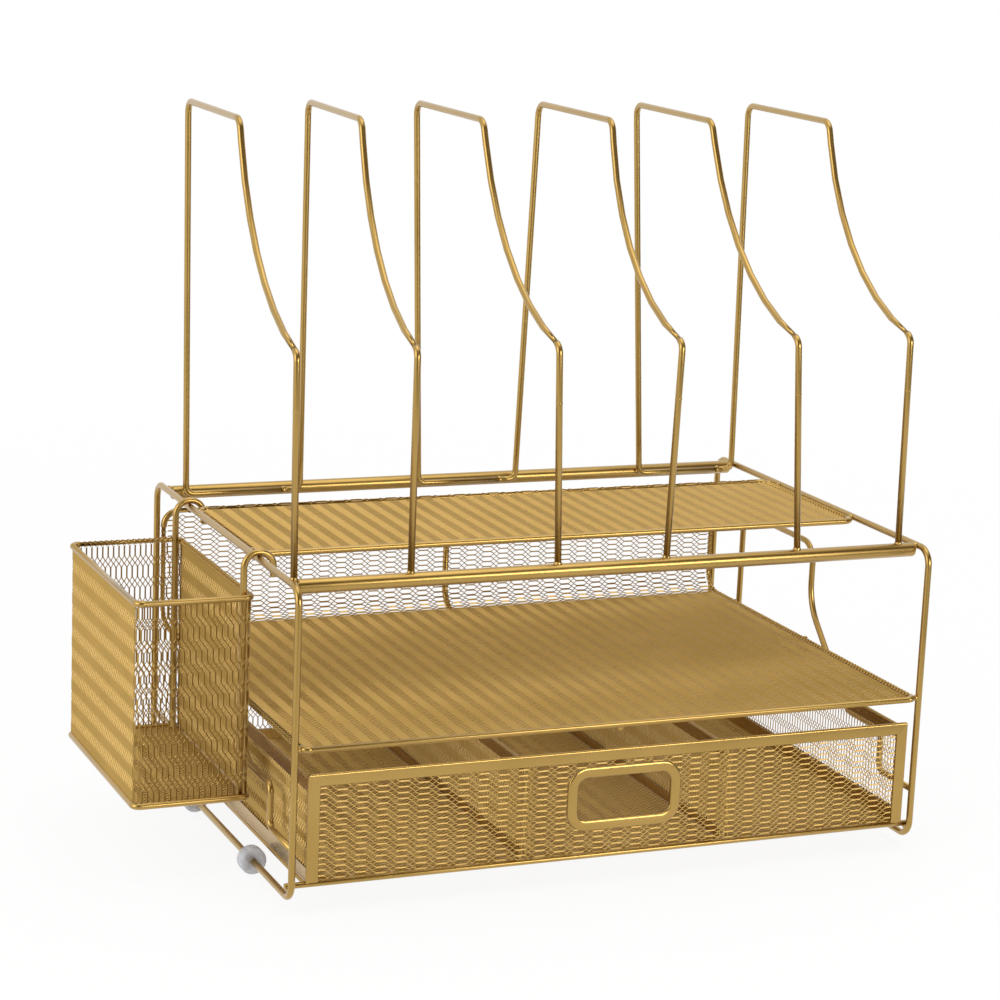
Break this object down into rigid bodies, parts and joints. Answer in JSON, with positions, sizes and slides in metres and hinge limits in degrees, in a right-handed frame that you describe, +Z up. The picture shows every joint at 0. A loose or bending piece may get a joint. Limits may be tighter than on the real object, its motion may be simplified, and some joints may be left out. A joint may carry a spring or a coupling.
{
  "type": "envelope sorter with drawer",
  "caption": "Desk sorter of gold wire and metal mesh: upright file dividers over a small shelf, a letter tray, a partitioned drawer, and a basket hooked on the side.",
  "frame": {"origin": "on the desk, midway between the two side frames and midway between their front and rear legs", "axes": "+X to the right seen from the front, +Y to the back, so the drawer opens to -Y, +Z up"},
  "size_m": [0.4827, 0.2864, 0.4347],
  "materials": {
    "gold_wire": "satin gold",
    "gold_mesh": "satin gold",
    "gold_strip": "satin gold",
    "foot_rubber": "matte translucent"
  },
  "bodies": {
    "sorter": {"side_frame_left": "gold_wire", "side_frame_right": "gold_wire", "front_rail": "gold_wire", "rear_rail": "gold_wire", "divider_1": "gold_wire", "divider_2": "gold_wire", "divider_3": "gold_wire", "divider_4": "gold_wire", "divider_5": "gold_wire", "divider_6": "gold_wire", "upper_shelf_rim": "gold_wire", "tray_rim": "gold_wire", "tray_support_wire": "gold_wire", "side_brace_left": "gold_wire", "side_brace_right": "gold_wire", "front_crossbar": "gold_wire", "rear_crossbar": "gold_wire", "drawer_runner_left": "gold_wire", "drawer_runner_right": "gold_wire", "upper_shelf_mesh": "gold_mesh", "tray_mesh": "gold_mesh", "foot_front_left": "foot_rubber", "foot_front_right": "foot_rubber", "foot_rear_left": "foot_rubber", "foot_rear_right": "foot_rubber"},
    "drawer": {"drawer_front_border": "gold_strip", "drawer_front_mesh": "gold_mesh", "handle_bezel": "gold_strip", "drawer_floor_mesh": "gold_mesh", "drawer_side_mesh_left": "gold_mesh", "drawer_side_mesh_right": "gold_mesh", "drawer_rear_mesh": "gold_mesh", "drawer_top_hem": "gold_strip", "drawer_bottom_hem": "gold_strip", "partition_mesh_left": "gold_mesh", "partition_mesh_right": "gold_mesh", "partition_hems_left": "gold_strip", "partition_hems_right": "gold_strip"},
    "basket": {"basket_wall_mesh": "gold_mesh", "basket_floor_mesh": "gold_mesh", "basket_top_rim": "gold_wire", "basket_bottom_rim": "gold_wire", "basket_hook_front": "gold_wire", "basket_hook_rear": "gold_wire"}
  },
  "joints": [
    {"name": "drawer_slide", "type": "slide", "parent": "sorter", "child": "drawer", "axis": [0, -1, 0], "range_m": [0, 0.18]},
    {"name": "basket_lift", "type": "slide", "parent": "sorter", "child": "basket", "axis": [0, 0, 1], "range_m": [0, 0.12]}
  ]
}
